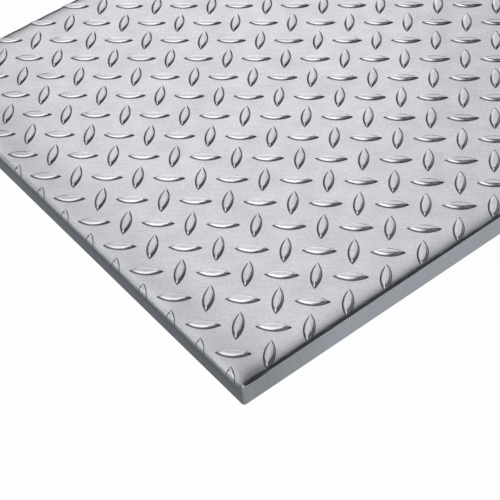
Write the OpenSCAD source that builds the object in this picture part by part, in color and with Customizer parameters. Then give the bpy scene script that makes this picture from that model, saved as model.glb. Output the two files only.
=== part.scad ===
// Aluminium diamond tread plate: one thick rolled plate, sheared to a square, with raised lugs
// on its upper face that point along the two diagonals by turns.
// Origin at the centre of the underside, +Z up out of the tread, X and Y along the sheared edges.

/* [Plate] */
// Length of the plate along X
plate_length = 457.2; // [300:0.1:1220]
// Width of the plate along Y
plate_width = 457.2; // [300:0.1:1220]
// Thickness of the plate under the lugs
plate_thickness = 19.05; // [6:0.05:40]

/* [Sheared edges] */
// Radius of the upright corners
corner_radius = 2.5; // [1:0.1:12]
// Radius to which the front and back upper edges are rolled over
side_roll = 3.5; // [1:0.1:5]
// How far that roll turns over before the cut face begins
side_turn = 84; // [20:1:88]
// How far the shear draws the tread down at the left and right edges
end_sag = 0.95; // [0.2:0.05:2]
// Width of the tread that is drawn down there
end_reach = 8; // [4:0.1:14]

/* [Lugs] */
// Length of a lug from tip to tip, on the plate's surface
lug_length = 25.4; // [18:0.1:30]
// Width of a lug at its middle, on the plate's surface
lug_width = 8.3; // [5:0.1:11]
// Height of a lug above the plate
lug_height = 1.7; // [0.8:0.05:2.5]
// Steepness of a lug's flanks, from the plate's surface
flank_angle = 50; // [40:1:70]

/* [Pattern] */
// Spacing, along an edge, of the lugs that point the same way
lug_repeat = 35; // [32:0.1:50]
// Distance inside the front edge (-Y) of the first row of lugs, less than 0 where it is cut through
first_row = -2.8; // [-6:0.1:12]
// Distance inside the right edge (+X) of the first whole column of lugs
first_column = 10.4; // [6:0.1:16]

/* [Hidden] */

// A lug is a lens in plan: the overlap of two equal rounds whose flanks slope as cones.
half_length = lug_length / 2;
half_width = lug_width / 2;
lens_radius = (half_length * half_length + half_width * half_width) / (2 * half_width);
lens_offset = lens_radius - half_width;
flank_run = 1 / tan(flank_angle);

// Reach and drop of the roll at the front and back, and radius of the tread drawn down at the ends
side_reach = side_roll * sin(side_turn);
side_drop = side_roll * (1 - cos(side_turn));
end_radius = (end_reach * end_reach + end_sag * end_sag) / (2 * end_sag);

// How far a lug's body reaches down into the plate, past the rolled edges
lug_root = max(side_drop, end_sag) + 1;

// Rows and columns of lugs lie half a repeat apart, with lugs where both counts are even or both odd.
half_repeat = lug_repeat / 2;
front_row = first_row - plate_width / 2;
right_column = plate_length / 2 - first_column;

// How far a lug reaches along X or Y from its centre, since it points along a diagonal
lug_reach = half_length / sqrt(2);
// The least share of a lug that an edge may leave standing
least_tip = 0.5;

// Facets of the rounds, for drawing
round_facets = 64;
roll_facets = 96;

function row_y(row) = front_row + row * half_repeat;
function column_x(column) = right_column - column * half_repeat;

// Distance from a lug's centre in to the nearer end and side, less than 0 outside the plate
function end_inset(lug) = plate_length / 2 - abs(lug.x);
function side_inset(lug) = plate_width / 2 - abs(lug.y);
// A lug stands whole where it keeps clear of the rolled edges, and shows where an edge leaves enough of it.
function stands_whole(lug) = end_inset(lug) >= lug_reach + end_reach
    && side_inset(lug) >= lug_reach + side_reach;
function shows(lug) = min(end_inset(lug), side_inset(lug)) > least_tip - lug_reach;
// A lug turns to one diagonal where its row is even, and to the other where it is odd.
function lug_turn(row) = row % 2 == 0 ? -45 : 45;

// One row and column more on each side, for the lugs that the edges cut
rows = [-1 : ceil((plate_width / 2 + lug_reach - front_row) / half_repeat)];
columns = [-2 : ceil((right_column + plate_length / 2 + lug_reach) / half_repeat)];

lugs = [for (row = rows, column = columns)
    if ((row + column) % 2 == 0) [column_x(column), row_y(row), lug_turn(row)]];
whole_lugs = [for (lug = lugs) if (stands_whole(lug)) lug];
edge_lugs = [for (lug = lugs) if (shows(lug) && !stands_whole(lug)) lug];

// The plate's outline with its upright corners rounded
module outline_block() {
    straight_x = plate_length - 2 * corner_radius;
    straight_y = plate_width - 2 * corner_radius;
    translate([-straight_x / 2, -plate_width / 2, 0]) cube([straight_x, plate_width, plate_thickness]);
    translate([-plate_length / 2, -straight_y / 2, 0]) cube([plate_length, straight_y, plate_thickness]);
    for (side_x = [-1, 1], side_y = [-1, 1])
        translate([side_x * straight_x / 2, side_y * straight_y / 2, 0])
            cylinder(r = corner_radius, h = plate_thickness, $fn = roll_facets);
}

// What the shear takes off one upper edge: a bar along X, hollowed below to the round of the roll
module edge_cut(edge_length, radius, reach, drop) {
    over = 1;
    difference() {
        translate([-edge_length / 2 - over, 0, -drop - over])
            cube([edge_length + 2 * over, reach + over, drop + 2 * over]);
        translate([0, 0, -radius])
            rotate([0, 90, 0])
                cylinder(r = radius, h = edge_length + 4 * over, center = true, $fn = roll_facets);
    }
}

// The plain plate with its front and back edges rolled over and its ends drawn down
module rolled_slab() {
    difference() {
        outline_block();
        for (turn = [0, 180])
            rotate(turn)
                translate([0, plate_width / 2 - side_reach, plate_thickness])
                    edge_cut(plate_length, side_roll, side_reach, side_drop);
        for (turn = [90, 270])
            rotate(turn)
                translate([0, plate_length / 2 - end_reach, plate_thickness])
                    edge_cut(plate_width, end_radius, end_reach, end_sag);
    }
}

// One side of a lug: a round whose flank slopes in as it rises
module lug_side() {
    translate([0, 0, -lug_root])
        cylinder(h = lug_root + lug_height, r1 = lens_radius + lug_root * flank_run,
                 r2 = lens_radius - lug_height * flank_run, $fn = round_facets);
}

// One lug along X, its foot at the origin
module lug() {
    intersection() {
        translate([0, lens_offset, 0]) lug_side();
        translate([0, -lens_offset, 0]) lug_side();
    }
}

module lugs_at(places) {
    for (place = places)
        translate([place.x, place.y, plate_thickness])
            rotate(place.z) lug();
}

module tread_plate() {
    color("silver") {
        rolled_slab();
        lugs_at(whole_lugs);
        intersection() {
            translate([0, 0, lug_height]) rolled_slab();
            lugs_at(edge_lugs);
        }
    }
}

tread_plate();
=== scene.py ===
"""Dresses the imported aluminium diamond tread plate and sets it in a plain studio.

The CAD plate has flat-topped lugs with straight flanks. A finer skin of the same plate stands in its
place here: the same lugs at the same places, with rounded backs and creased feet, and upper edges that
the shear has rolled over or drawn down unevenly.
"""

import math

import bmesh
import bpy
import numpy as np
from bpy.props import FloatProperty, FloatVectorProperty, PointerProperty
from mathutils import Matrix, Vector


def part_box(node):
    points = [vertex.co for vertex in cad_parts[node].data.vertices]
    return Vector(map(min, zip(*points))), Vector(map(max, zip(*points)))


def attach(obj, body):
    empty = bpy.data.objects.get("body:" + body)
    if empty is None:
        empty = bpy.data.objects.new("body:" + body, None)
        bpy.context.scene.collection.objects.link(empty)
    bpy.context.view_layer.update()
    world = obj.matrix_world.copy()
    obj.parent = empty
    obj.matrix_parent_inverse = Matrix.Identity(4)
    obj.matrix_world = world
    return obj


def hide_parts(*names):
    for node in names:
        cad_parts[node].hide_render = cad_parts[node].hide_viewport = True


bl_info = {
    "name": "Diamond Tread Plate",
    "version": (1, 0, 0),
    "blender": (4, 5, 0),
    "location": "View3D > Sidebar > Tread Plate",
    "description": "Builds a sheared aluminium tread plate over its packed frame, with a studio",
    "category": "Object",
}

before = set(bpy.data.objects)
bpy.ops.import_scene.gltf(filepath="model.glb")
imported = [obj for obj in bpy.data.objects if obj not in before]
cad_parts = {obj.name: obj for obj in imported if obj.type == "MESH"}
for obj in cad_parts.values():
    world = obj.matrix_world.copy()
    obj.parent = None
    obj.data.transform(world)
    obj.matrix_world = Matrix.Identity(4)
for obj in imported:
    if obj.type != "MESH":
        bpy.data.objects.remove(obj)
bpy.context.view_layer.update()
plate_low, plate_high = (Vector(corner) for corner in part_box("tread_plate"))

MM = 0.001
TAU = 2 * math.pi
DIAGONAL = math.radians(45)

# Mesh of the tread

# Points round each ring of a lug and round its cell, whose quarters have six spans each
RING_POINTS = 24
QUARTER = RING_POINTS // 4
# Distances inside a lug's outline at which its rings run, from the top outwards, less than 0 outside it
RING_INSETS = [inset * MM for inset in (3.3, 2.6, 1.9, 1.3, 0.8, 0.4, 0.06, -0.1, -0.45)]
# The last but one of these rings is the crease at a lug's foot
FOOT_RING = len(RING_INSETS) - 2
# How far a cell bulges at its lug's tips, and the shares of its half side at which that is half and none
CELL_BULGE = 2.2 * MM
BULGE_HALF = 0.22
BULGE_NONE = 0.6
# Rows and columns of cells past the plate's edges, for those that reach in
OUTER_CELLS = 2
# Points this near to each other are joined, and a cut runs through points this near to it
JOIN_DISTANCE = 0.02 * MM
CUT_SNAP = 0.005 * MM
# How far from a cut the faces that it is tried on may lie, in half cells, and the share of that at a corner
CUT_REACH = 4
CORNER_CUT_SHARE = 0.1
# Steps in which an upright corner turns from one side to the next
CORNER_STEPS = 6
# Lines along the edges, as shares of the drawn-down width at the left and right
# and of the roll's width at the front and back
END_LINES = (0.06, 0.13, 0.2, 0.28, 0.36, 0.48, 0.62, 0.8, 1.0)
SIDE_LINES = (0.02, 0.06, 0.13, 0.23, 0.36, 0.5, 0.66, 0.83, 1.0, 1.7)

# Shape of a lug

# How sharply its flank bends over into its top, and its two flanks into each other along the ridge
LUG_BEND = 2.8
RIDGE_BEND = 3
# How much fuller the dome is at the tips of a lug than a plain lens
TIP_FULLNESS = 0.8
# The least distance inside an outline that the dome is worked out for
LEAST_INSIDE = 0.001 * MM
# A flank higher than this many times the foot's ease is left as it is
EASE_LIMIT = 40

# Sheared edges

# Width along the front and back edges where the shear has pressed the lugs right down
PRESSED_FLAT = 1.8 * MM
# Share of the drawn-down depth that lies close to the edge, and of its width that this takes up
SHARP_SAG = 0.62
SHARP_REACH = 0.36
# How uneven the rest is along the edge, the lengths of its waves, and how much deeper it is near a corner
SAG_UNEVEN = 0.14
SAG_WAVES = (47 * MM, 19 * MM)
CORNER_SAG = 1.5
CORNER_SAG_PLACE = 15 * MM
CORNER_SAG_WIDTH = 8 * MM
# How far the roll of the front and back edges turns over before the cut begins
SIDE_ROLL_TURN = math.radians(84)
# Share of a corner's radius, in from the left and right, up to which the cut's upper edge is a crease
CREASE_SHARE = 0.3

# Finish of the tread

# Waves a metre of its mottle and its grain, length, width and depth of its streaks, and how ragged these are
MOTTLE_SCALE = 45.0
GRAIN_SCALE = 420.0
STREAK_SIZE = (17 * MM, 2 * MM, 17 * MM)
STREAK_ROUGHNESS = 0.6
# How much each of these counts in the shade, the shades at which the metal is dullest and brightest,
# and how much of its colour the dullest keeps
MOTTLE_SHARE = 0.42
GRAIN_SHARE = 0.33
STREAK_SHARE = 0.25
SHADE_RANGE = (0.36, 0.6)
DULLEST = 0.8
# Strength and depth of its fine relief
RELIEF_STRENGTH = 0.1
RELIEF_DEPTH = 0.05 * MM
# Roughness of the clean tread, and what the mottle, the roll of the edges and the painted shade in the lugs'
# creases add to it
TREAD_ROUGHNESS = 0.14
MOTTLE_ROUGHNESS = 0.1
ROLL_ROUGHNESS = 0.3
FOOT_SHADE_ROUGHNESS = 0.2
# Depths below the tread between which painted shade turns the roll's colour to that of the front and back
# cuts
ROLL_SHADE_DEPTH = (0.5 * MM, 2.8 * MM)
# How much painted shade darkens the borders at the left and right and at the front and back, and half the
# distance inside the edge at which that is the most
BORDER_SHADE = (0.6, 0.39)
BORDER_SHADE_REACH = (2.5 * MM, 7 * MM)
# How dark a line of painted shade runs along the left and right, and its distance inside the edge
SHEAR_LINE_SHADE = 0.72
SHEAR_LINE_PLACE = 1.5 * MM
# Height of a lug above which it stays clear of the painted shade at the left and right
RAISED_CLEAR = 0.5 * MM
# How much more painted shade the front and back borders get at the corners, and how far along them this
# reaches
CORNER_SHADE = 2.3
CORNER_SHADE_REACH = 25 * MM
# Where inside a lug's outline the painted shade in its crease is darkest, how far it spreads from there,
# and the last part of this over which it fades out
FOOT_SHADE_PLACE = 0.22 * MM
FOOT_SHADE_SPREAD = 0.55 * MM
FOOT_SHADE_THINS = 0.35 * MM
# The mesh attribute that holds this painted shade, the share of the plate's thickness above which there is
# any, its colour, and how much of the metal's colour it hides
FOOT_SHADE_NAME = "foot_shade"
FOOT_SHADE_LEAST_LEVEL = 0.8
FOOT_SHADE_COLOUR = (0.045, 0.05, 0.06)
FOOT_SHADE_STRENGTH = 0.85

# Finish of the cuts

# Waves a metre of the streaks, along and down the cut, and of the blotches, and what each adds to the shade
CUT_STREAK_SCALE = (500, 500, 18)
CUT_STREAK_SHARE = 0.32
BLOTCH_SCALE = 30.0
BLOTCH_SHARE = 0.12
# Distances from the front and back between which the cut turns lighter, and its shades there
LIGHTER_PLACE = (20 * MM, 85 * MM)
LIGHTER_SHADE = (0.58, 0.84)
# Depths below the tread between which the cut at the left and right turns from brighter to its own tone, and
# its shades there
END_TOP_DEPTH = (0.9 * MM, 3.0 * MM)
END_TOP_SHADE = (1.1, 1.0)
# The same for painted light on the cut under the rolled edges at the front and back
UNDER_ROLL_LIGHT_DEPTH = (3.0 * MM, 6.0 * MM)
UNDER_ROLL_LIGHT_SHADE = (1.2, 1.0)
# Roughness of the cuts, and what the streaks add to it
CUT_ROUGHNESS = 0.45
CUT_STREAK_ROUGHNESS = 0.2

# Studio

# Colours of the studio round the lamps and below the floor, and the slope at which the second is reached
STUDIO_DARK = (0.1, 0.1, 0.105)
STUDIO_BELOW = (0.8, 0.8, 0.8)
SLOPE_BELOW = -0.1
# The floor lies this little above the underside, so that the two don't share a plane, and reaches this far
FLOOR_RISE = 0.02 * MM
FLOOR_REACH = 20.0
# How much of the floor's white is its own, the rest being lit and so shaded by the plate
FLOOR_GLOW = 0.97
# Width of the camera's sensor in mm, and the nearest distance that it sees in metres
SENSOR_WIDTH = 36.0
NEAREST_SEEN = 0.01
UP = Vector((0, 0, 1))
# Ways that lamps face, in steps forward to the camera, right across its view, and up
DOWN = (0, 0, -1)
FORWARD = (1, 0, 0)
BACKWARD = (-1, 0, 0)
RIGHT = (0, 1, 0)
# Soft lamps: place forward, right and up from what the camera looks at, the way that they face,
# width and height, or depth and width where they face down, and radiance
LAMPS = (
    ("key_softbox", (-0.0375, -0.22, 1.2), DOWN, (0.825, 0.56), 1.6),
    ("key_front", (0.6275, -0.775, 1.2), DOWN, (0.505, 1.15), 1.6),
    ("key_back", (-0.515, -0.185, 1.2), DOWN, (0.13, 0.63), 0.95),
    ("key_left", (0.0875, -1.05, 1.2), DOWN, (0.575, 1.1), 1.6),
    ("key_bridge", (-0.69, -0.06, 1.2), DOWN, (0.22, 0.38), 0.95),
    ("left_high", (-0.8, -0.975, 1.2), DOWN, (0.44, 1.45), 0.72),
    ("left_bridge", (-0.4, -1.225, 1.2), DOWN, (0.36, 1.45), 0.72),
    ("right_top", (0.25, 0.35, 1.2), DOWN, (0.3, 0.14), 0.8),
    ("left_panel", (-0.45, -1.75, 0.7), RIGHT, (0.9, 0.9), 0.8),
    ("back_upper", (-1.5, 0.0, 1.7), FORWARD, (0.8, 0.8), 0.87),
    ("back_middle", (-1.5, 0.0, 0.96), FORWARD, (0.8, 0.68), 0.95),
    ("back_lower", (-1.5, 0.05, 0.31), FORWARD, (0.6, 0.62), 1.4),
    ("back_left", (-1.5, -1.0, 1.19), FORWARD, (1.2, 1.14), 0.78),
    ("back_right", (-1.5, 1.0, 1.2), FORWARD, (1.2, 1.6), 0.76),
    ("back_high", (-1.5, 1.25, 2.3), FORWARD, (0.9, 0.6), 0.76),
    ("front_panel", (1.6, 0.0, 0.65), BACKWARD, (3.0, 1.1), 0.8),
    ("left_front", (0.85, -1.36, 0.6), (-0.53, 0.85, 0), (1.4, 1.0), 0.75),
    ("right_side", (0.5, 1.53, 0.42), (-0.31, -0.95, 0), (1.0, 0.64), 0.65),
    ("right_low", (-0.6, 1.5, 0.25), (0.37, -0.93, 0), (1.5, 0.36), 0.5),
)


def length_property(name, description, default):
    """A distance in metres with its place in the panel."""
    return FloatProperty(name=name, description=description, default=default, unit="LENGTH", precision=5)


def angle_property(name, description, degrees):
    """An angle with its place in the panel."""
    return FloatProperty(name=name, description=description, default=math.radians(degrees), subtype="ANGLE")


def colour_property(name, description, default):
    """A linear colour with its place in the panel."""
    return FloatVectorProperty(
        name=name, description=description, default=default, subtype="COLOR", size=3, min=0.0, max=1.0
    )


class PlateSettings(bpy.types.PropertyGroup):
    """Sizes of the plate and its lugs"""

    lug_length: length_property("Lug length", "Length of a lug from tip to tip", 25.4 * MM)
    lug_width: length_property("Lug width", "Width of a lug at its middle", 8.3 * MM)
    lug_height: length_property("Lug height", "Height of a lug above the plate", 1.7 * MM)
    foot_ease: length_property("Foot ease", "How softly a lug's flank runs out into the plate", 0.08 * MM)
    lug_repeat: length_property("Lug repeat", "Spacing of lugs that point the same way", 35 * MM)
    first_row: length_property("First row", "Distance of the first row inside the front edge", -2.8 * MM)
    first_column: length_property("First column", "Distance of the first column inside the right", 10.4 * MM)
    corner_radius: length_property("Corner radius", "Radius of the upright corners", 2.5 * MM)
    end_sag: length_property("End sag", "How far the left and right edges are drawn down", 0.95 * MM)
    end_reach: length_property("End reach", "Width of the tread that is drawn down there", 8 * MM)
    end_fade: length_property("End fade", "Width along those edges where lugs thin out", 2.5 * MM)
    side_roll: length_property("Side roll", "Radius to which the front and back edges are rolled", 3.5 * MM)
    side_fade: length_property("Side fade", "Width along those edges where lugs are pressed down", 4.5 * MM)
    lower_break: length_property("Lower break", "Width of the broken lower edge", 0.4 * MM)


class FinishSettings(bpy.types.PropertyGroup):
    """Colours of the plate's finishes"""

    tread: colour_property("Tread", "Mill finish of the tread face", (0.70, 0.71, 0.735))
    # Painted shade: the dark colour towards which the tread's borders are darkened
    border: colour_property("Border", "Duller finish of the tread's borders", (0.2, 0.205, 0.22))
    # Painted shade: the front and back cuts are a darker copy of the left and right ones
    side_cut_shaded: colour_property("Side cut", "Finish of the cut at the front and back", (0.088, 0.102, 0.124))
    end_cut: colour_property("End cut", "Finish of the cut at the left and right", (0.33, 0.36, 0.385))


class StageSettings(bpy.types.PropertyGroup):
    """The floor and the camera"""

    floor: colour_property("Floor", "Colour of the floor", (0.9, 0.9, 0.9))
    lens: FloatProperty(
        name="Lens", description="Focal length of the camera", default=102.191, min=20, unit="CAMERA"
    )
    azimuth: angle_property("Azimuth", "Turn of the camera about the plate", 58.074)
    elevation: angle_property("Elevation", "Height angle of the camera", 45.236)
    roll: angle_property("Roll", "Tilt of the camera", -7.991)
    distance: length_property("Distance", "Distance of the camera from what it looks at", 1033.775 * MM)
    aim_from_right: length_property("Aim from right", "Distance of that inside the right edge", 98.182 * MM)
    aim_from_front: length_property("Aim from front", "Distance of that inside the front edge", 83.195 * MM)


class Wire:
    """An output of a shader node, whose arithmetic adds Math nodes to its finish"""

    def __init__(self, finish, socket):
        self.finish = finish
        self.socket = socket

    def maths(self, operation, first, second):
        return self.finish.node("ShaderNodeMath", {"operation": operation}, {0: first, 1: second})

    def __add__(self, other):
        return self.maths("ADD", self, other)

    __radd__ = __add__

    def __sub__(self, other):
        return self.maths("SUBTRACT", self, other)

    def __rsub__(self, other):
        return self.maths("SUBTRACT", other, self)

    def __mul__(self, other):
        return self.maths("MULTIPLY", self, other)

    __rmul__ = __mul__

    def __truediv__(self, other):
        return self.maths("DIVIDE", self, other)

    def __rtruediv__(self, other):
        return self.maths("DIVIDE", other, self)

    def __pow__(self, other):
        return self.maths("POWER", self, other)

    def __rpow__(self, other):
        return self.maths("POWER", other, self)

    def __abs__(self):
        return self.maths("ABSOLUTE", self, 0.0)


class Finish:
    """A node tree under way, such as a material's"""

    def __init__(self, owner):
        owner.use_nodes = True
        self.owner = owner
        self.tree = owner.node_tree
        self.tree.nodes.clear()

    def node(self, kind, settings=None, inputs=None, output=0):
        """Adds a node: its settings first, then the values or links of its sockets; gives one output."""
        made = self.tree.nodes.new(kind)
        for name, value in (settings or {}).items():
            setattr(made, name, value)
        for name, value in (inputs or {}).items():
            socket = made.inputs[name]
            if isinstance(value, Wire):
                self.tree.links.new(value.socket, socket)
            else:
                socket.default_value = value
        return Wire(self, made.outputs[output]) if made.outputs else made

    def split(self, vector):
        """X, Y and Z of a vector."""
        parts = self.node("ShaderNodeSeparateXYZ", None, {0: vector}).socket.node
        return [Wire(self, socket) for socket in parts.outputs]

    def ranged(self, value, limits, results=(0.0, 1.0)):
        """A value carried over from one pair of limits to another, and held at those."""
        return self.node(
            "ShaderNodeMapRange",
            None,
            {"Value": value, 1: limits[0], 2: limits[1], 3: results[0], 4: results[1]},
        )

    def blend(self, factor, first, second, mode="MIX"):
        """Mixes two colours."""
        return self.node(
            "ShaderNodeMix",
            {"data_type": "RGBA", "blend_type": mode},
            {"Factor": factor, 6: first, 7: second},
            output=2,
        )

    def noise(self, place, scale, detail=3.0, roughness=0.5):
        """Noise about 0.5 at a place, with a scale in waves a metre."""
        return self.node(
            "ShaderNodeTexNoise",
            {"noise_dimensions": "3D"},
            {"Vector": place, "Scale": scale, "Detail": detail, "Roughness": roughness},
        )

    def close(self, surface, kind="ShaderNodeOutputMaterial"):
        """Joins a surface to the tree's output, and gives what the tree belongs to."""
        self.node(kind, None, {"Surface": surface})
        return self.owner


def opaque(colour):
    """A colour with full alpha."""
    return (*colour, 1.0)


class Tread:
    """The plate's shape worked out from its settings, with the tread's height over any place"""

    def __init__(self, sizes):
        self.sizes = sizes
        self.half_x = (plate_high.x - plate_low.x) / 2
        self.half_y = (plate_high.y - plate_low.y) / 2
        self.face_height = plate_high.z - sizes.lug_height
        self.roll_reach = sizes.side_roll * math.sin(SIDE_ROLL_TURN)
        self.half_length = sizes.lug_length / 2
        self.half_width = sizes.lug_width / 2
        # A lug is a lens in plan, the overlap of two equal rounds
        self.lens_radius = (self.half_length**2 + self.half_width**2) / (2 * self.half_width)
        self.lens_offset = self.lens_radius - self.half_width
        self.half_repeat = sizes.lug_repeat / 2
        self.front_row = sizes.first_row - self.half_y
        self.right_column = self.half_x - sizes.first_column
        # Each lug has a square cell to itself, turned to the diagonals
        self.half_cell = self.half_repeat / math.sqrt(2)

    def lens_ring(self, inset):
        """Points round a lug along its lens drawn in by a distance, from one tip round to it again."""
        radius = self.lens_radius - inset
        tip_angle = math.acos(self.lens_offset / radius)
        quarter = []
        for step in range(QUARTER + 1):
            angle = tip_angle * (1 - step / QUARTER)
            quarter.append((radius * math.sin(angle), radius * math.cos(angle) - self.lens_offset))
        return mirrored_round(quarter)

    def cell_ring(self):
        """Points round a lug's cell: a square that bulges at the lug's tips and gives way to other lugs'."""
        side = self.half_cell
        half = BULGE_HALF * side
        none = BULGE_NONE * side
        quarter = [
            (side + CELL_BULGE, 0.0),
            (side + CELL_BULGE / 2, half),
            (side, none),
            (side, side),
            (none, side),
            (half, side - CELL_BULGE / 2),
            (0.0, side - CELL_BULGE),
        ]
        return mirrored_round(quarter)

    def lug_places(self):
        """Centre and turn of every lug whose cell may touch the plate."""
        places = []
        rows = math.ceil(2 * self.half_y / self.half_repeat) + OUTER_CELLS
        columns = math.ceil(2 * self.half_x / self.half_repeat) + OUTER_CELLS
        for row in range(-OUTER_CELLS, rows):
            for column in range(-OUTER_CELLS, columns):
                if (row + column) % 2 == 0:
                    x = self.right_column - column * self.half_repeat
                    y = self.front_row + row * self.half_repeat
                    turn = -DIAGONAL if row % 2 == 0 else DIAGONAL
                    places.append((x, y, turn))
        return places

    def outline_insets(self, along, across):
        """Distances inside the two rounds of a lug's outline, less than 0 outside them."""
        upper = self.lens_radius - np.hypot(along, across + self.lens_offset)
        lower = self.lens_radius - np.hypot(along, across - self.lens_offset)
        return upper, lower

    def lug_share(self, along, across):
        """How far up a lug's dome a place is: 0 on its outline, 1 in its middle, less than 0 outside it."""
        upper, lower = self.outline_insets(along, across)
        nearer = np.minimum(upper, lower)
        # Both distances count alike on the ridge, and only the smaller one at the foot
        upper = np.maximum(upper, LEAST_INSIDE) / self.half_width
        lower = np.maximum(lower, LEAST_INSIDE) / self.half_width
        inside = ((upper**-RIDGE_BEND + lower**-RIDGE_BEND) / 2) ** (-1 / RIDGE_BEND)
        # The top stays full towards the tips and then drops
        fuller = 1 + TIP_FULLNESS * (along / self.half_length) ** 2
        return fuller * np.where(nearer > 0, inside, nearer / self.half_width)

    def near_lugs(self, x, y):
        """Each place as distances along and across the lugs nearest to it, lug by lug."""
        diagonal = 2 * self.half_cell
        along = ((x - self.right_column) + (y - self.front_row)) / math.sqrt(2) / diagonal
        across = ((x - self.right_column) - (y - self.front_row)) / math.sqrt(2) / diagonal
        near_along = np.round(along)
        near_across = np.round(across)
        found = []
        for step_along, step_across in ((0, 0), (1, 0), (-1, 0), (0, 1), (0, -1)):
            centre_along = near_along + step_along
            centre_across = near_across + step_across
            from_along = (along - centre_along) * diagonal
            from_across = (across - centre_across) * diagonal
            # Lugs on even diagonals run across, and those on odd ones along
            even = np.mod(centre_along + centre_across, 2) == 0
            length_way = np.where(even, from_across, from_along)
            width_way = np.where(even, from_along, from_across)
            found.append((length_way, width_way))
        return found

    def foot_shade(self, x, y):
        """How much painted shade places on the plate get, up to 1 in the creases at the lugs' feet."""
        insets = [np.minimum(*self.outline_insets(*place)) for place in self.near_lugs(x, y)]
        inset = np.max(insets, axis=0)
        return np.clip((FOOT_SHADE_SPREAD - np.abs(inset - FOOT_SHADE_PLACE)) / FOOT_SHADE_THINS, 0.0, 1.0)

    def lug_rise(self, x, y):
        """Height of the lugs over places on the plate."""
        sizes = self.sizes
        share = np.max([self.lug_share(*place) for place in self.near_lugs(x, y)], axis=0)
        bend = 1 - (1 - np.clip(share, 0.0, 1.0)) ** LUG_BEND
        flank = np.where(share > 0, bend, LUG_BEND * share) * sizes.lug_height
        eased = sizes.foot_ease * np.log1p(np.exp(np.minimum(flank / sizes.foot_ease, EASE_LIMIT)))
        standing = np.where(flank > EASE_LIMIT * sizes.foot_ease, flank, eased)
        pressed = np.clip((self.half_y - np.abs(y) - PRESSED_FLAT) / sizes.side_fade, 0.0, 1.0)
        pressed *= smooth_step((self.half_x - np.abs(x)) / sizes.end_fade)
        return pressed * standing

    def height(self, x, y):
        """Height of the tread over places on the plate."""
        sizes = self.sizes
        from_end = np.maximum(self.half_x - np.abs(x), 0.0)
        from_side = np.maximum(self.half_y - np.abs(y), 0.0)
        # The shear bites unevenly along an edge, deepest a little way from a corner, and fades out at it
        wave = np.sin(TAU * y / SAG_WAVES[0]) + np.sin(TAU * y / SAG_WAVES[1] + np.sign(x))
        near_corner = np.exp(-(((from_side - CORNER_SAG_PLACE) / CORNER_SAG_WIDTH) ** 2))
        uneven = 1 + SAG_UNEVEN * wave + CORNER_SAG * near_corner
        wide = (1 - SHARP_SAG) * uneven * np.maximum(1 - from_end / sizes.end_reach, 0.0) ** 2
        sharp = SHARP_SAG * np.maximum(1 - from_end / (SHARP_REACH * sizes.end_reach), 0.0) ** 2
        sag = sizes.end_sag * (wide + sharp) * smooth_step(from_side / sizes.end_reach)
        short = np.maximum(self.roll_reach - from_side, 0.0)
        roll = sizes.side_roll - np.sqrt(sizes.side_roll**2 - short**2)
        return np.minimum(self.face_height + self.lug_rise(x, y) - sag - roll, plate_high.z)


def smooth_step(share):
    """Eases from 0 to 1 as a share does, and holds outside them."""
    held = np.clip(share, 0.0, 1.0)
    return held * held * (3 - 2 * held)


def mirrored_round(quarter):
    """A closed ring from its first quarter, which runs from the long axis to the cross axis."""
    second = [(-along, across) for along, across in reversed(quarter[:-1])]
    upper = quarter + second
    lower = [(along, -across) for along, across in reversed(upper[1:-1])]
    return upper + lower


def ladder_faces():
    """Faces that close the innermost ring, rung by rung from tip to tip."""
    faces = []
    for step in range(RING_POINTS // 2):
        near_lower = (RING_POINTS - step) % RING_POINTS
        far_lower = RING_POINTS - step - 1
        # The rungs at the tips have no length, so the faces there are triangles
        faces.append(list(dict.fromkeys((step, step + 1, far_lower, near_lower))))
    return faces


def lug_cell(tread):
    """Points and faces of one lug's cell, flat and about the origin, with the lug along X."""
    rings = [tread.lens_ring(inset) for inset in RING_INSETS]
    rings.append(tread.cell_ring())
    points = [point for ring in rings for point in ring]
    faces = ladder_faces()
    for ring in range(len(rings) - 1):
        inner = ring * RING_POINTS
        outer = inner + RING_POINTS
        for step in range(RING_POINTS):
            after = (step + 1) % RING_POINTS
            faces.append((inner + step, outer + step, outer + after, inner + after))
    return points, faces


def flat_pattern(tread):
    """A flat mesh of every lug's cell, joined to its neighbours, with a crease round each lug's foot."""
    cell_points, cell_faces = lug_cell(tread)
    points = []
    faces = []
    creases = []
    for x, y, turn in tread.lug_places():
        first = len(points)
        foot = first + FOOT_RING * RING_POINTS
        creases.extend([(foot + step, foot + (step + 1) % RING_POINTS) for step in range(RING_POINTS)])
        cosine = math.cos(turn)
        sine = math.sin(turn)
        for along, across in cell_points:
            points.append((x + along * cosine - across * sine, y + along * sine + across * cosine, 0.0))
        faces.extend([[first + corner for corner in face] for face in cell_faces])
    mesh = bpy.data.meshes.new("flat_pattern")
    mesh.from_pydata(points, [], faces)
    pattern = bmesh.new()
    pattern.from_mesh(mesh)
    bpy.data.meshes.remove(mesh)
    pattern.verts.ensure_lookup_table()
    for start, end in creases:
        pattern.edges.get((pattern.verts[start], pattern.verts[end])).smooth = False
    bmesh.ops.remove_doubles(pattern, verts=pattern.verts, dist=JOIN_DISTANCE)
    return pattern


def cut(pattern, point, normal, keep_outer, reach):
    """Cuts a flat mesh along a line; what lies past it goes, or else only an edge is added near it."""
    chosen = []
    for face in pattern.faces:
        past = (face.calc_center_median() - point).dot(normal)
        if past > -reach and (past < reach or not keep_outer):
            chosen.append(face)
    edges = {edge for face in chosen for edge in face.edges}
    corners = {corner for face in chosen for corner in face.verts}
    bmesh.ops.bisect_plane(
        pattern,
        geom=list(corners) + list(edges) + chosen,
        dist=CUT_SNAP,
        plane_co=point,
        plane_no=normal,
        clear_outer=not keep_outer,
    )


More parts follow.
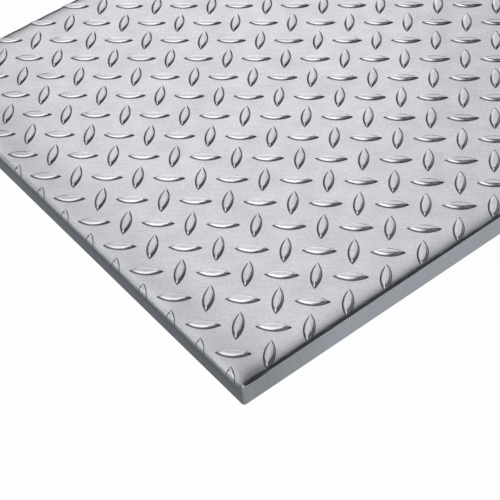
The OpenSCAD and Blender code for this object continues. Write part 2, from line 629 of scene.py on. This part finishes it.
def trim_to_outline(pattern, tread):
    """Trims the pattern to the plate's outline and adds the lines along which its edges bend down."""
    radius = tread.sizes.corner_radius
    reach = CUT_REACH * tread.half_cell
    sides = [(Vector((way, 0, 0)), tread.half_x) for way in (1, -1)]
    sides += [(Vector((0, way, 0)), tread.half_y) for way in (1, -1)]
    for normal, half in sides:
        cut(pattern, normal * half, normal, False, reach)
    for side_x in (-1, 1):
        for side_y in (-1, 1):
            centre = Vector((side_x * (tread.half_x - radius), side_y * (tread.half_y - radius), 0))
            for step in range(1, CORNER_STEPS):
                angle = step / CORNER_STEPS * math.pi / 2
                normal = Vector((side_x * math.cos(angle), side_y * math.sin(angle), 0))
                cut(pattern, centre + normal * radius, normal, False, CORNER_CUT_SHARE * reach)
    end_lines = [share * tread.sizes.end_reach for share in END_LINES]
    side_lines = [share * tread.roll_reach for share in SIDE_LINES]
    for normal, half in sides:
        for inset in end_lines if normal.x else side_lines:
            cut(pattern, normal * (half - inset), normal, True, reach)


def extruded(pattern, border):
    """Grows a mesh by a strip along its border, and gives the strip's new points, faces and border."""
    grown = bmesh.ops.extrude_edge_only(pattern, edges=border)["geom"]
    corners = [part for part in grown if isinstance(part, bmesh.types.BMVert)]
    faces = [part for part in grown if isinstance(part, bmesh.types.BMFace)]
    edges = [part for part in grown if isinstance(part, bmesh.types.BMEdge) and part.is_boundary]
    return corners, faces, edges


def add_sides(pattern, tread):
    """Draws the tread's border down to the floor, breaks the lower edge and closes the underside."""
    sizes = tread.sizes
    limit_x = tread.half_x - sizes.corner_radius
    limit_y = tread.half_y - sizes.corner_radius
    border = [edge for edge in pattern.edges if edge.is_boundary]
    # The shear leaves a crease where the cut begins at the left and right
    for edge in border:
        middle = (edge.verts[0].co + edge.verts[1].co) / 2
        edge.smooth = abs(middle.x) < tread.half_x - CREASE_SHARE * sizes.corner_radius
    side_faces = []
    for inset, height in ((0.0, sizes.lower_break), (sizes.lower_break, 0.0)):
        corners, faces, border = extruded(pattern, border)
        side_faces += faces
        for corner in corners:
            place = Vector((corner.co.x, corner.co.y, 0))
            held = Vector((max(-limit_x, min(limit_x, place.x)), max(-limit_y, min(limit_y, place.y)), 0))
            pull = (held - place).normalized() * inset
            corner.co.x += pull.x
            corner.co.y += pull.y
            corner.co.z = height
    # The underside is a fan of flat faces round its middle
    corners, under = extruded(pattern, border)[:2]
    bmesh.ops.pointmerge(pattern, verts=corners, merge_co=(0, 0, 0))
    return side_faces, under


def plate_mesh(tread):
    """The plate's skin: rolled tread, cut sides and plain underside."""
    skin = flat_pattern(tread)
    trim_to_outline(skin, tread)
    wide = [face for face in skin.faces if len(face.verts) > 4]
    bmesh.ops.triangulate(skin, faces=wide)
    places = np.array([corner.co.to_tuple() for corner in skin.verts])
    heights = tread.height(places[:, 0], places[:, 1])
    for corner, height in zip(skin.verts, heights):
        corner.co.z = height
    side_faces, under = add_sides(skin, tread)
    for face in skin.faces:
        face.smooth = True
    for face in side_faces:
        face.material_index = 1
    for face in under:
        face.smooth = False
        for edge in face.edges:
            edge.smooth = False
    bmesh.ops.recalc_face_normals(skin, faces=skin.faces)
    mesh = bpy.data.meshes.new("tread_skin")
    skin.to_mesh(mesh)
    skin.free()
    add_foot_shade(mesh, tread)
    return mesh


def add_foot_shade(mesh, tread):
    """Marks how much painted shade each point of the tread gets, most in the creases at the lugs' feet."""
    places = np.empty(3 * len(mesh.vertices))
    mesh.vertices.foreach_get("co", places)
    x, y, z = places.reshape(-1, 3).T
    painted_foot_shade = np.where(z > FOOT_SHADE_LEAST_LEVEL * tread.face_height, tread.foot_shade(x, y), 0.0)
    mesh.attributes.new(FOOT_SHADE_NAME, "FLOAT", "POINT").data.foreach_set("value", painted_foot_shade)


def tread_finish(colours, tread_level):
    """Bright mill finish, faintly mottled and streaked, with painted shade along its borders, on the roll
    and in the creases at the lugs' feet.
    """
    finish = Finish(bpy.data.materials.new("mill_tread"))
    place = finish.node("ShaderNodeTexCoord", output="Object")
    x, y, z = finish.split(place)
    from_end = plate_high.x - abs(x)
    from_side = plate_high.y - abs(y)
    depth = tread_level - z
    mottle = finish.noise(place, MOTTLE_SCALE, detail=4.0)
    grain = finish.noise(place, GRAIN_SCALE, detail=2.0)
    # Rolling has left fine streaks along one diagonal
    turned = finish.node(
        "ShaderNodeMapping",
        {"vector_type": "TEXTURE"},
        {"Vector": place, "Rotation": (0, 0, DIAGONAL), "Scale": STREAK_SIZE},
    )
    streak = finish.noise(turned, 1.0, detail=4.0, roughness=STREAK_ROUGHNESS)
    shade = mottle * MOTTLE_SHARE + grain * GRAIN_SHARE + streak * STREAK_SHARE
    dull = tuple(DULLEST * part for part in colours.tread)
    colour = finish.blend(finish.ranged(shade, SHADE_RANGE), opaque(dull), opaque(colours.tread))
    # Painted shade darkens the borders, where the lugs stand clear at the left and right
    end_share = from_end / BORDER_SHADE_REACH[0]
    side_share = from_side / BORDER_SHADE_REACH[1]
    shear_share = from_end / SHEAR_LINE_PLACE
    near_corner = 1 + CORNER_SHADE * math.e ** (from_end / -CORNER_SHADE_REACH)
    low = finish.ranged(depth, (-RAISED_CLEAR, 0.0))
    end_shade = SHEAR_LINE_SHADE * shear_share * math.e ** (1 - shear_share)
    end_shade = end_shade + BORDER_SHADE[0] * end_share**2 * math.e ** (-1 * end_share)
    side_shade = BORDER_SHADE[1] * side_share**2 * math.e ** (-1 * side_share) * near_corner
    colour = finish.blend(end_shade * low + side_shade, colour, opaque(colours.border))
    # Painted shade darkens the creases at the lugs' feet
    painted_foot_shade = finish.node("ShaderNodeAttribute", {"attribute_name": FOOT_SHADE_NAME}, output="Fac")
    colour = finish.blend(FOOT_SHADE_STRENGTH * painted_foot_shade, colour, opaque(FOOT_SHADE_COLOUR))
    # Painted shade turns the roll of the front and back edges to the dark colour of the cut, and the
    # underside, which lies deeper than any roll, keeps the mill finish
    roll_shade = finish.ranged(depth, ROLL_SHADE_DEPTH) * finish.ranged(depth, (tread_level, tread_level / 2))
    colour = finish.blend(roll_shade, colour, opaque(colours.side_cut_shaded))
    relief = finish.node(
        "ShaderNodeBump",
        None,
        {"Strength": RELIEF_STRENGTH, "Distance": RELIEF_DEPTH, "Height": streak + grain},
    )
    roughness = TREAD_ROUGHNESS + mottle * MOTTLE_ROUGHNESS
    roughness = roughness + roll_shade * ROLL_ROUGHNESS + painted_foot_shade * FOOT_SHADE_ROUGHNESS
    skin = finish.node(
        "ShaderNodeBsdfPrincipled",
        None,
        {"Base Color": colour, "Metallic": 1.0, "Roughness": roughness, "Normal": relief},
    )
    return finish.close(skin)


def cut_finish(colours, tread_level):
    """Dull grey of the cut edges, faintly streaked down the cut, with painted shade on the front and back
    cuts.
    """
    finish = Finish(bpy.data.materials.new("cut_edge"))
    place = finish.node("ShaderNodeTexCoord", output="Object")
    y, z = finish.split(place)[1:]
    depth = tread_level - z
    drawn_out = finish.node("ShaderNodeMapping", None, {"Vector": place, "Scale": CUT_STREAK_SCALE})
    streak = finish.noise(drawn_out, 1.0, detail=3.0)
    blotch = finish.noise(place, BLOTCH_SCALE, detail=2.0)
    facing = finish.node("ShaderNodeNewGeometry", output="Normal")
    end_share = abs(finish.split(facing)[0])
    side_share = 1 - end_share
    # The front and back cuts take a darker copy of the cut's colour, as painted shade
    tone = finish.blend(end_share, opaque(colours.side_cut_shaded), opaque(colours.end_cut))
    # The front and back cuts are darker all over, as painted shade, and the left and right ones towards the
    # corners
    lighter = finish.ranged(plate_high.y - abs(y), LIGHTER_PLACE, LIGHTER_SHADE)
    # It is brighter just under the tread at the left and right, and painted light brightens it under the
    # rolled edges
    end_top = finish.ranged(depth, END_TOP_DEPTH, END_TOP_SHADE)
    under_roll_light = finish.ranged(depth, UNDER_ROLL_LIGHT_DEPTH, UNDER_ROLL_LIGHT_SHADE)
    shade = lighter + streak * CUT_STREAK_SHARE + blotch * BLOTCH_SHARE
    shade = shade * (end_top * end_share + under_roll_light * side_share)
    skin = finish.node(
        "ShaderNodeBsdfPrincipled",
        None,
        {
            "Base Color": finish.blend(1.0, tone, shade, "MULTIPLY"),
            "Metallic": 1.0,
            "Roughness": CUT_ROUGHNESS + streak * CUT_STREAK_ROUGHNESS,
        },
    )
    return finish.close(skin)


class TREAD_OT_plate(bpy.types.Operator):
    """Build the plate's skin over its CAD solid"""

    bl_idname = "tread.plate"
    bl_label = "Build tread plate"

    def execute(self, context):
        tread = Tread(context.scene.tread_plate)
        mesh = plate_mesh(tread)
        colours = context.scene.tread_finish
        mesh.materials.append(tread_finish(colours, tread.face_height))
        mesh.materials.append(cut_finish(colours, tread.face_height))
        skin = bpy.data.objects.new("plate_skin", mesh)
        context.collection.objects.link(skin)
        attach(skin, "root")
        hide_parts("tread_plate")
        return {"FINISHED"}


def floor_finish(colour):
    """White floor that keeps the plate's shadow; the camera and metal see it lit up to white."""
    finish = Finish(bpy.data.materials.new("studio_floor"))
    rays = finish.node("ShaderNodeLightPath").socket.node.outputs
    seen = Wire(finish, rays["Is Camera Ray"])
    seen = seen + Wire(finish, rays["Is Glossy Ray"])
    seen = seen + Wire(finish, rays["Is Transmission Ray"])
    matt = finish.node("ShaderNodeBsdfDiffuse", None, {"Color": opaque(colour)})
    glow = finish.node("ShaderNodeEmission", None, {"Color": opaque((1, 1, 1)), "Strength": 1.0})
    return finish.close(finish.node("ShaderNodeMixShader", None, {0: seen * FLOOR_GLOW, 1: matt, 2: glow}))


def studio_light():
    """A dark studio round the lamps, which is light below the floor for the underside."""
    finish = Finish(bpy.data.worlds.new("studio"))
    slope = finish.split(finish.node("ShaderNodeTexCoord", output="Generated"))[2]
    below = finish.ranged(slope, (0.0, SLOPE_BELOW))
    colour = finish.blend(below, opaque(STUDIO_DARK), opaque(STUDIO_BELOW))
    sky = finish.node("ShaderNodeBackground", None, {"Color": colour, "Strength": 1.0})
    return finish.close(sky, "ShaderNodeOutputWorld")


class TREAD_OT_stage(bpy.types.Operator):
    """Set the floor, the lamps and the camera"""

    bl_idname = "tread.stage"
    bl_label = "Set the stage"

    def execute(self, context):
        stage = context.scene.tread_stage
        tread_level = plate_high.z - context.scene.tread_plate.lug_height
        aim = Vector((plate_high.x - stage.aim_from_right, plate_low.y + stage.aim_from_front, tread_level))
        forward = Vector((math.sin(stage.azimuth), -math.cos(stage.azimuth), 0))
        right = Vector((math.cos(stage.azimuth), math.sin(stage.azimuth), 0))
        self.add_floor(context, stage)
        self.add_camera(context, stage, aim, forward)
        ways = Matrix((forward, right, UP)).transposed().to_4x4()
        for name, place, facing, size, radiance in LAMPS:
            turn = Vector(facing).to_track_quat("-Z", "Y").to_matrix().to_4x4()
            stand = Matrix.Translation(aim) @ ways @ Matrix.Translation(place) @ turn
            self.add_lamp(context, name, stand, size, radiance)
        context.scene.world = studio_light()
        context.scene.view_settings.view_transform = "Standard"
        return {"FINISHED"}

    def add_floor(self, context, stage):
        mesh = bpy.data.meshes.new("floor")
        ends = ((-1, -1), (1, -1), (1, 1), (-1, 1))
        corners = [(x * FLOOR_REACH, y * FLOOR_REACH, FLOOR_RISE) for x, y in ends]
        mesh.from_pydata(corners, [], [(0, 1, 2, 3)])
        mesh.materials.append(floor_finish(stage.floor))
        floor = bpy.data.objects.new("floor", mesh)
        context.collection.objects.link(floor)

    def add_camera(self, context, stage, aim, forward):
        camera = bpy.data.cameras.new("camera")
        camera.lens = stage.lens
        camera.sensor_width = SENSOR_WIDTH
        camera.clip_start = NEAREST_SEEN
        holder = bpy.data.objects.new("camera", camera)
        outward = math.cos(stage.elevation) * forward + math.sin(stage.elevation) * UP
        look = (-outward).to_track_quat("-Z", "Y").to_matrix().to_4x4()
        stand = Matrix.Translation(aim + stage.distance * outward)
        holder.matrix_world = stand @ look @ Matrix.Rotation(stage.roll, 4, "Z")
        context.collection.objects.link(holder)
        context.scene.camera = holder

    def add_lamp(self, context, name, stand, size, radiance):
        """Adds a rectangular soft lamp of an even radiance."""
        lamp = bpy.data.lights.new(name, "AREA")
        lamp.shape = "RECTANGLE"
        lamp.size, lamp.size_y = size
        lamp.energy = radiance * math.pi * size[0] * size[1]
        holder = bpy.data.objects.new(name, lamp)
        holder.matrix_world = stand
        holder.visible_camera = False
        context.collection.objects.link(holder)


class TREAD_PT_panel(bpy.types.Panel):
    """Sizes, finishes and stage of the tread plate"""

    bl_idname = "TREAD_PT_panel"
    bl_label = "Tread Plate"
    bl_space_type = "VIEW_3D"
    bl_region_type = "UI"
    bl_category = "Tread Plate"

    def draw(self, context):
        for settings, operator in (
            (context.scene.tread_plate, "tread.plate"),
            (context.scene.tread_finish, None),
            (context.scene.tread_stage, "tread.stage"),
        ):
            box = self.layout.box()
            for name in settings.bl_rna.properties.keys():
                if name not in {"rna_type", "name"}:
                    box.prop(settings, name)
            if operator:
                box.operator(operator)


CLASSES = (PlateSettings, FinishSettings, StageSettings, TREAD_OT_plate, TREAD_OT_stage, TREAD_PT_panel)


def register():
    for made in CLASSES:
        bpy.utils.register_class(made)
    bpy.types.Scene.tread_plate = PointerProperty(type=PlateSettings)
    bpy.types.Scene.tread_finish = PointerProperty(type=FinishSettings)
    bpy.types.Scene.tread_stage = PointerProperty(type=StageSettings)


def unregister():
    del bpy.types.Scene.tread_stage
    del bpy.types.Scene.tread_finish
    del bpy.types.Scene.tread_plate
    for made in reversed(CLASSES):
        bpy.utils.unregister_class(made)


def main():
    register()
    bpy.ops.tread.plate()
    bpy.ops.tread.stage()


if __name__ == "__main__":
    main()
